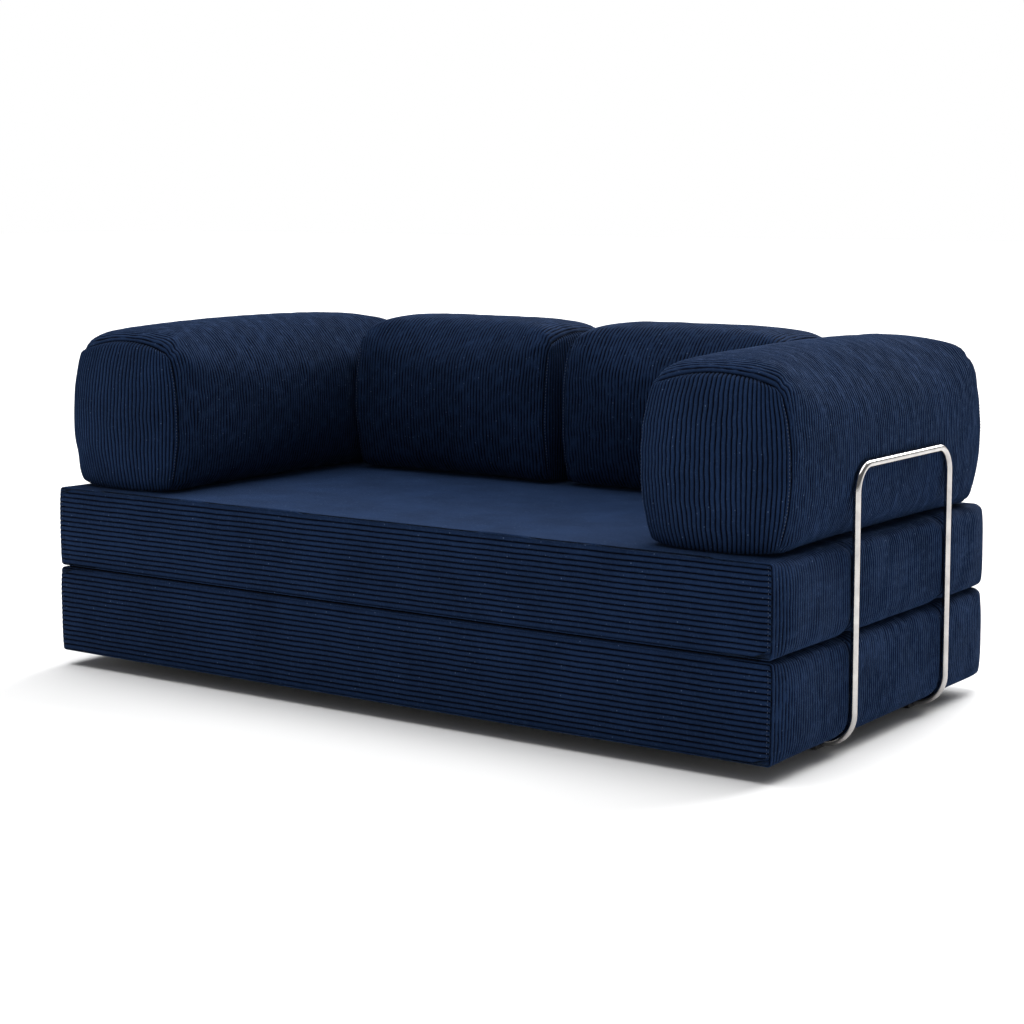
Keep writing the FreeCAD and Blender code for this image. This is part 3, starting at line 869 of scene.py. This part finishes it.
def hoop_surface(inner, outer, left, right, low, top, sides=28):
    """A hoop's tube in its own frame: out, along and up.

    A circle is carried in along the floor, up one leg, over, down the other leg and back. The circle's
    first axis is across the tube in the plane of the bend or against the way out, so it never twists."""
    out, along, up = np.eye(3)
    foot = outer - BOTTOM_BEND
    shoulder = top - TOP_BEND
    first = arc(np.array([foot, left, low + BOTTOM_BEND]), out, up, BOTTOM_BEND, -90, 0)
    up_bend = arc(np.array([outer, left + TOP_BEND, shoulder]), along, up, TOP_BEND, 180, 90)
    down_bend = arc(np.array([outer, right - TOP_BEND, shoulder]), along, up, TOP_BEND, 90, 0)
    last = arc(np.array([foot, right, low + BOTTOM_BEND]), out, up, BOTTOM_BEND, 0, -90)
    start = (np.array([[inner, left, low]]), out[None])
    end = (np.array([[inner, right, low]]), -out[None])
    stretches = (start, first, up_bend, down_bend, last, end)
    points = np.concatenate([p for p, _ in stretches])
    tangents = np.concatenate([t for _, t in stretches])
    runs = np.repeat([1, 1, 0, 0, -1, -1], [len(p) for p, _ in stretches])[:, None]
    beside = np.where(runs == 0, np.cross(tangents, out), runs * along)
    across = np.where(runs == 0, -out, np.cross(tangents, beside))
    angle = (np.arange(sides) / sides * 2 * math.pi)[None, :, None]
    ring = np.cos(angle) * across[:, None] + np.sin(angle) * beside[:, None]
    tube = points[:, None] + TUBE_RADIUS * ring
    bevel = 0.0009
    ends = []
    for k, way in ((0, -1), (-1, 1)):
        tip = points[k] + way * tangents[k] * bevel * 0.6
        ends.append(tip + (TUBE_RADIUS - bevel) * ring[k])
    return np.concatenate([ends[0][None], tube, ends[1][None]])


def hoop(name, steel):
    """One bent tube, mirrored or turned to its side of the sofa, over the CAD one."""
    low, high = (np.array(corner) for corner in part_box(name + "_hoop"))
    r = TUBE_RADIUS
    is_back = name.startswith("back")
    if is_back:
        inner, outer, left, right = low[1], high[1] - r, low[0] + r, high[0] - r
    elif name == "right":
        inner, outer, left, right = low[0], high[0] - r, low[1] + r, high[1] - r
    else:
        inner, outer, left, right = -high[0], -low[0] - r, low[1] + r, high[1] - r
    tube = hoop_surface(inner, outer, left, right, low[2] + r, high[2] - r)
    if is_back:
        tube = tube[..., [1, 0, 2]]
    elif name == "left":
        tube = tube * np.array([-1, 1, 1])
    mesh = closed_tube(name + "_hoop_tube", tube)
    piece = new_piece(name + "_hoop_tube", mesh, steel, name + "_hoop_frame")
    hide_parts(name + "_hoop")


# ---------------------------------------------------------------- zips

# One tooth: a slanted block with a ridge, by its length, half-width and height
TOOTH = np.array([
    [-0.5, -1, 0.15], [0.5, -1, 0.15], [0.5, 1, 0.15], [-0.5, 1, 0.15],
    [-0.32, -0.8, 0.85], [0.32, -0.8, 0.85], [0.32, 0.8, 0.85], [-0.32, 0.8, 0.85],
    [0, -0.55, 1.0], [0, 0.55, 1.0],
])
TOOTH_QUADS = np.array([
    [3, 2, 1, 0], [0, 1, 5, 4], [2, 3, 7, 6], [1, 2, 6, 5], [3, 0, 4, 7],
    [5, 6, 9, 8], [7, 4, 8, 9],
])
TOOTH_ENDS = np.array([[4, 5, 8], [6, 7, 9]])
TOOTH_PITCH = 0.0024
TAPE_ROWS = 121
TAPE_CORD = 0.0013         # what a height of 1 in the tape's profile stands for


def zip_chain(name, body, tape_material, tooth_material):
    """A zip on a rear face: a woven tape with raised cords, and slanted teeth down its middle."""
    low, high = (np.array(corner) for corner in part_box(name + "_zip"))
    face, depth = low[1], high[1] - low[1]
    middle_z = (low[2] + high[2]) / 2
    half_width = (high[2] - low[2]) / 2
    x = np.linspace(low[0], high[0], TAPE_ROWS)[:, None]
    half_z = np.array([-1, -0.97, -0.8, -0.55, -0.3, -0.24, -0.16])
    half_y = np.array([0.05, 0.4, 0.42, 0.4, 0.42, 0.6, 0.45])
    profile_z = np.concatenate([half_z, [0], -half_z[::-1]])
    profile_y = np.concatenate([half_y, [0.3], half_y[::-1]])
    outline_z = np.concatenate([profile_z, profile_z[::-1]])
    outline_y = np.concatenate([profile_y * TAPE_CORD, np.full(len(profile_z), -0.0002)])
    ring = np.stack(np.broadcast_arrays(
        x, face + outline_y[None, :], middle_z + outline_z[None, :] * half_width), -1)
    mesh = closed_tube(name + "_tape", ring)
    tape = new_piece(name + "_tape", mesh, tape_material, body)
    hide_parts(name + "_zip")

    at = np.arange(low[0] + 0.004, high[0] - 0.004, TOOTH_PITCH)
    shape = TOOTH * np.array([TOOTH_PITCH * 0.72, 0.0019, min(depth, 0.0014) * 0.92])
    lean = 0.25 * shape[:, 1] * np.where(np.arange(len(at)) % 2, 1, -1)[:, None]
    tooth = np.stack([
        at[:, None] + shape[None, :, 0] + lean,
        np.broadcast_to(face + shape[None, :, 2], lean.shape),
        np.broadcast_to(middle_z + shape[None, :, 1], lean.shape),
    ], -1)
    first = np.arange(len(at))[:, None, None] * len(TOOTH)
    quads = (TOOTH_QUADS[None] + first).reshape(-1, 4)
    ends = (TOOTH_ENDS[None] + first).reshape(-1, 3)
    points = tooth.reshape(-1, 3)
    mesh = mesh_from(name + "_teeth", points, *outwards(points, quads, ends))
    new_piece(name + "_teeth", mesh, tooth_material, body)


# ---------------------------------------------------------------- hinge strip

STRIP_THICKNESS = 0.0007
LEAF_ROWS = 12


def hinge_strip(material):
    """The strip that joins the mattresses along the fold: one cloth, bent round in a small U."""
    low = np.array(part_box("hinge_strip_lower")[0])
    high = np.array(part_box("hinge_strip_upper")[1])
    radius = (high[2] - low[2]) / 2 - STRIP_THICKNESS / 2 - 0.0001
    middle = (low[2] + high[2]) / 2
    front = low[1] + radius + STRIP_THICKNESS + 0.003
    bend = np.linspace(-math.pi / 2, -3 * math.pi / 2, 15)
    leaf = np.linspace(low[1] + STRIP_TUCK, front, LEAF_ROWS, endpoint=False)
    flat = np.full(LEAF_ROWS, radius)
    line = np.stack([
        np.concatenate([leaf, front + radius * np.cos(bend), leaf[::-1]]),
        middle + np.concatenate([-flat, radius * np.sin(bend), flat]),
    ], 1)
    along = np.gradient(line, axis=0)
    along /= np.linalg.norm(along, axis=1, keepdims=True)
    side = np.stack([-along[:, 1], along[:, 0]], 1) * STRIP_THICKNESS / 2
    outline = np.concatenate([line + side, (line - side)[::-1]])
    x = np.linspace(low[0], high[0], 90)[:, None]
    ring = np.stack(np.broadcast_arrays(x, outline[None, :, 0], outline[None, :, 1]), -1)
    rows, sides = ring.shape[:2]
    points = ring.reshape(-1, 3)
    quads = grid_quads(rows, sides, wrap=True)
    k = np.arange(sides // 2 - 1)
    end = np.stack([k, k + 1, sides - 2 - k, sides - 1 - k], 1)
    quads = np.concatenate([quads, end, end[:, ::-1] + (rows - 1) * sides])
    mesh = mesh_from("hinge_strip", points, *outwards(points, quads, np.zeros((0, 3), int)))
    strip = new_piece("hinge_strip", mesh, material, None)
    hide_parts("hinge_strip_lower", "hinge_strip_upper")
    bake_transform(strip)


# ---------------------------------------------------------------- materials

def new_material(name, **constants):
    """A material with one Principled shader, a function that adds nodes, and one that sets the shader."""
    material = bpy.data.materials.new(name)
    material.use_nodes = True
    nodes, links = material.node_tree.nodes, material.node_tree.links
    shader = nodes["Principled BSDF"]

    def fill(owner, inputs):
        for key, value in inputs.items():
            socket = owner.inputs[key]
            if isinstance(value, bpy.types.NodeSocket):
                links.new(value, socket)
            else:
                socket.default_value = value

    def node(kind, inputs, **settings):
        made = nodes.new("ShaderNode" + kind)
        for key, value in settings.items():
            setattr(made, key, value)
        fill(made, inputs)
        return made

    def shade(**inputs):
        fill(shader, {key.replace("_", " "): value for key, value in inputs.items()})

    shade(**constants)
    return material, node, shade


def mixed(node, factor, first, second):
    """The colour between two."""
    inputs = {0: factor, 6: first, 7: second}
    return node("Mix", inputs, data_type="RGBA", blend_type="MIX", clamp_factor=True).outputs[2]


def levels(node, value, low, high, to_low=0.0, to_high=1.0):
    """A value taken from one range to another, and kept in it."""
    ends = {"From Min": low, "From Max": high, "To Min": to_low, "To Max": to_high}
    return node("MapRange", {"Value": value, **ends}).outputs["Result"]


def math_of(node, operation, *values):
    """The result of one sum."""
    return node("Math", dict(enumerate(values)), operation=operation).outputs[0]


def objects_own(node):
    """The object's own coordinates."""
    return node("TexCoord", {}).outputs["Object"]


def noise(node, scale, detail=3.0, roughness=0.55, place=None):
    """Noise on the object's own coordinates; the scale is in waves to the metre."""
    place = place or objects_own(node)
    inputs = {"Vector": place, "Scale": scale, "Detail": detail, "Roughness": roughness}
    return node("TexNoise", inputs).outputs["Fac"]


def spread(node, *settings):
    """Noise stretched to run from 0 to 1."""
    return levels(node, noise(node, *settings), 0.3, 0.7)


def bump(node, height, strength, distance, **under):
    """Normals that follow a height, laid over those of another bump if it is given."""
    inputs = {"Height": height, "Strength": strength, "Distance": distance, **under}
    return node("Bump", inputs).outputs["Normal"]


# Colour of the pale specks on the cloth: painted glints of the pile
GLINT_SPECK = (0.055, 0.085, 0.16, 1.0)
CREASE = (0.03, 0.055, 0.12, 1.0)


def corduroy(name, crest, groove):
    """Wide-wale cotton corduroy: painted shade in its grooves, cut pile on the wales, brushed patches, pale
    specks of painted glint, creases and fuzz.
    """
    material, node, shade = new_material(
        name, Roughness=0.92, Specular_IOR_Level=0.03,
        Sheen_Weight=0.07, Sheen_Roughness=0.38, Sheen_Tint=(0.32, 0.54, 1.0, 1.0))
    wale = node("Attribute", {}, attribute_name="wale").outputs["Fac"]
    bright = tuple(c * 1.30 for c in crest[:3]) + (1.0,)
    dull = tuple(c * 0.78 for c in crest[:3]) + (1.0,)
    pile = mixed(node, spread(node, 9.0, 3.0), dull, bright)
    pile = mixed(node, levels(node, spread(node, 75.0, 3.0, 0.7), 0.0, 1.0, 0.0, 0.4), pile, bright)
    pile = mixed(node, levels(node, spread(node, 420.0, 2.0), 0.0, 1.0, 0.0, 0.55), pile, dull)
    # Pale specks scattered over the cloth: painted glints on the pile
    cells = node("TexVoronoi", {"Vector": objects_own(node), "Scale": 75.0})
    speck = levels(node, cells.outputs["Distance"], 0.08, 0.13, 1.0, 0.0)
    chosen = node("SeparateColor", {"Color": cells.outputs["Color"]}).outputs["Red"]
    painted_glint = math_of(node, "MULTIPLY", speck, levels(node, chosen, 0.35, 0.8))
    pile = mixed(node, painted_glint, pile, GLINT_SPECK)
    contour = math_of(node, "ABSOLUTE", math_of(node, "SUBTRACT", noise(node, 48.0, 2.0), 0.5))
    crinkle = levels(node, contour, 0.0, 0.02, 1.0, 0.0)
    pile = mixed(node, levels(node, crinkle, 0.0, 1.0, 0.0, 0.22), pile, CREASE)
    fuzz = bump(node, noise(node, 900.0, 2.0), 0.5, 0.0006)
    tufts = bump(node, noise(node, 260.0, 3.0, 0.65), 0.6, 0.0012, Normal=fuzz)
    # Painted shade: the base colour sinks to the near-black groove colour where the wale attribute is low, in
    # the grooves and at the seams
    shade(Base_Color=mixed(node, levels(node, wale, 0.25, 0.92), groove, pile),
          Normal=bump(node, crinkle, 0.6, 0.0007, Normal=tufts))
    return material


def thread_finish():
    """Twisted polyester thread, lighter than the cloth."""
    material, node, shade = new_material("navy_thread", Roughness=0.55)
    ply = spread(node, 700.0, 2.0)
    shade(Base_Color=mixed(node, ply, (0.02, 0.032, 0.07, 1), (0.045, 0.065, 0.12, 1)),
          Normal=bump(node, noise(node, 1800.0, 1.0), 0.4, 0.0003))
    return material


def steel_finish():
    """Bent steel tube, nickel plated and polished: faint drawing lines and handling marks."""
    material, node, shade = new_material("plated_steel", Metallic=1.0)
    marks = levels(node, noise(node, 35.0, 5.0, 0.6), 0.35, 0.65)
    shade(Base_Color=mixed(node, marks, (0.38, 0.365, 0.355, 1), (0.49, 0.47, 0.455, 1)),
          Roughness=levels(node, noise(node, 60.0, 6.0, 0.7), 0.3, 0.7, 0.12, 0.2),
          Normal=bump(node, noise(node, 700.0, 3.0), 0.05, 0.0003))
    return material


def grained(name, colour, paler, scale, roughness, metallic=0.0, relief=0.25, specular=0.4):
    """A solid finish with a fine grain: its colour, roughness and relief all follow noise."""
    material, node, shade = new_material(name, Metallic=metallic, Specular_IOR_Level=specular)
    grain = spread(node, scale, 4.0)
    shade(Base_Color=mixed(node, grain, (*colour, 1), (*paler, 1)),
          Roughness=levels(node, grain, 0.0, 1.0, roughness - 0.07, roughness + 0.07),
          Normal=bump(node, noise(node, scale * 2.5, 3.0), relief, 0.0004))
    return material


def plywood_finish():
    """Plywood stained near black: long streaks of grain along X, and paler plies in its edges."""
    material, node, shade = new_material("stained_plywood", Roughness=0.6)
    place = objects_own(node)
    along = node("Mapping", {"Vector": place, "Scale": (2.5, 45.0, 1.0)}).outputs["Vector"]
    height = node("SeparateXYZ", {"Vector": place}).outputs["Z"]
    layer = math_of(node, "SINE", math_of(node, "MULTIPLY", height, 2200.0))
    streak = spread(node, 3.0, 6.0, 0.6, along)
    wood = mixed(node, streak, (0.016, 0.013, 0.011, 1), (0.034, 0.028, 0.023, 1))
    shade(Base_Color=mixed(node, levels(node, layer, -0.4, 0.4, 0.0, 0.35), wood, (0.07, 0.05, 0.035, 1)))
    return material


def tape_weave():
    """The zip tape: a fine herringbone weave in near-black navy."""
    material, node, shade = new_material("zip_tape_weave", Roughness=0.85, Specular_IOR_Level=0.08)
    slant = node("Mapping", {"Vector": objects_own(node), "Rotation": (0.0, 0.8, 0.0)}).outputs["Vector"]
    wave = {"Vector": slant, "Scale": 420.0, "Distortion": 1.5, "Detail": 1.0}
    rows = node("TexWave", wave).outputs["Fac"]
    shade(Base_Color=mixed(node, rows, (0.002, 0.004, 0.010, 1), (0.006, 0.011, 0.026, 1)),
          Normal=bump(node, rows, 0.4, 0.0003))
    return material


def finish_nodes(material, *names):
    """Gives a material to CAD nodes that are shown as they are."""
    for name in names:
        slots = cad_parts[name].material_slots
        for slot in slots:
            slot.material = material
        if not slots:
            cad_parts[name].data.materials.append(material)


# ---------------------------------------------------------------- the object

# The groove colour is painted shade: near black, for the grooves that fall in shadow
CREST = (0.0088, 0.0202, 0.0545, 1.0)
GROOVE_SHADE = (0.0003, 0.0008, 0.0030, 1.0)

cloth = corduroy("navy_corduroy", CREST, GROOVE_SHADE)
thread = thread_finish()
steel = steel_finish()
plastic = grained("black_plastic", (0.012, 0.012, 0.013), (0.022, 0.022, 0.023), 300.0, 0.5)
rubber = grained("foot_rubber", (0.02, 0.02, 0.02), (0.035, 0.034, 0.033), 180.0, 0.85)
screw_steel = grained("zinc_screws", (0.42, 0.42, 0.41), (0.60, 0.60, 0.58), 120.0, 0.35, 1.0, 0.1)
puller = grained("zip_metal", (0.05, 0.05, 0.055), (0.10, 0.10, 0.105), 150.0, 0.32, 1.0, 0.1)
# The hinge strip is a real piece, made near black so that the gap between the mattresses reads as a shadowed
# slit: painted shade
strip_cloth_dark_as_shade = grained("strip_twill_dark_as_shade", (0.0014, 0.0022, 0.0050), (0.0026, 0.0042, 0.0095), 600.0, 0.92,
                      specular=0.02)
teeth_nylon = grained("zip_teeth", (0.008, 0.010, 0.018), (0.018, 0.022, 0.035), 500.0, 0.4)
plywood = plywood_finish()
tape = tape_weave()

mattress("lower", cloth, thread, 11)
mattress("upper", cloth, thread, 23)
for number, name in enumerate(BOLSTERS):
    # The backs are straight with nearly flat ends; the arms swell in the middle and at their ends
    barrel, cap_dome = (0.0, 0.02) if name.startswith("back") else (0.03, 0.034)
    bolster(name, cloth, thread, 100 + 37 * number, barrel, cap_dome)
for name in HOOPS:
    hoop(name, steel)
    finish_nodes(plastic, name + "_hoop_plugs", name + "_hoop_outer_guides", name + "_hoop_inner_guides")
zip_bodies = {"lower": "base", "upper": "upper_mattress"}
zip_bodies.update((name, name + "_bolster") for name in BOLSTERS)
for name, body in zip_bodies.items():
    zip_chain(name, body, tape, teeth_nylon)
    finish_nodes(puller, name + "_zip_slider")
hinge_strip(strip_cloth_dark_as_shade)
finish_nodes(plywood, "base_board_left", "base_board_right", "joining_batten")
finish_nodes(plastic, "board_feet", "batten_feet")
finish_nodes(rubber, "foot_pads")
finish_nodes(screw_steel, "foot_screws", "guide_screws", "batten_screws")


# ---------------------------------------------------------------- floor, light and camera

def floor():
    """A wide pale floor."""
    points = 45.0 * np.array([[-1, -1, 0], [1, -1, 0], [1, 1, 0], [-1, 1, 0]])
    mesh = mesh_from("studio_floor", points, np.array([[0, 1, 2, 3]]))
    ground = bpy.data.objects.new("studio_floor", mesh)
    bpy.context.collection.objects.link(ground)
    pale = {"Base_Color": (0.86, 0.86, 0.86, 1), "Roughness": 0.9, "Specular_IOR_Level": 0.1}
    mesh.materials.append(new_material("pale_floor", **pale)[0])
    ground.location.z = -0.0002


def sky():
    """A studio's surroundings: white walls all round up to a low height, and a dimmer ceiling."""
    world = bpy.data.worlds.new("studio")
    bpy.context.scene.world = world
    world.use_nodes = True
    nodes, links = world.node_tree.nodes, world.node_tree.links
    up = nodes.new("ShaderNodeSeparateXYZ")
    links.new(nodes.new("ShaderNodeTexCoord").outputs["Generated"], up.inputs[0])
    band = nodes.new("ShaderNodeMapRange")
    band.interpolation_type = "SMOOTHSTEP"
    for key, value in (("From Min", 0.10), ("From Max", 0.24), ("To Min", 1.0), ("To Max", 0.22)):
        band.inputs[key].default_value = value
    links.new(up.outputs["Z"], band.inputs["Value"])
    background = nodes["Background"]
    links.new(band.outputs["Result"], background.inputs["Strength"])
    background.inputs["Color"].default_value = (1.0, 1.0, 1.0, 1)


def lamp(name, energy, place, spread_angle):
    """A broad, even light that comes from a place, with its spread in degrees."""
    data = bpy.data.lights.new(name, "SUN")
    data.energy = energy
    data.angle = math.radians(spread_angle)
    made = bpy.data.objects.new(name, data)
    bpy.context.collection.objects.link(made)
    made.location = place
    made.rotation_euler = (-Vector(place)).to_track_quat("-Z", "Y").to_euler()


def camera():
    """The view from the front right, a little above the backs, looking slightly down."""
    data = bpy.data.cameras.new("camera")
    data.lens = 76.75
    data.sensor_width = 36.0
    data.shift_y = -0.08
    data.clip_end = 200.0
    made = bpy.data.objects.new("camera", data)
    bpy.context.collection.objects.link(made)
    made.location = (2.8609, -4.0853, 1.1114)
    made.rotation_euler = (math.radians(90 - 6.13), 0.0, math.radians(34.941))
    bpy.context.scene.camera = made


floor()
sky()
lamp("overhead", 3.2, (-0.9, 0.3, 6.0), 58)
lamp("behind", 3.6, (0.3, 5.0, 3.6), 40)
camera()
bpy.context.scene.view_settings.view_transform = "Standard"
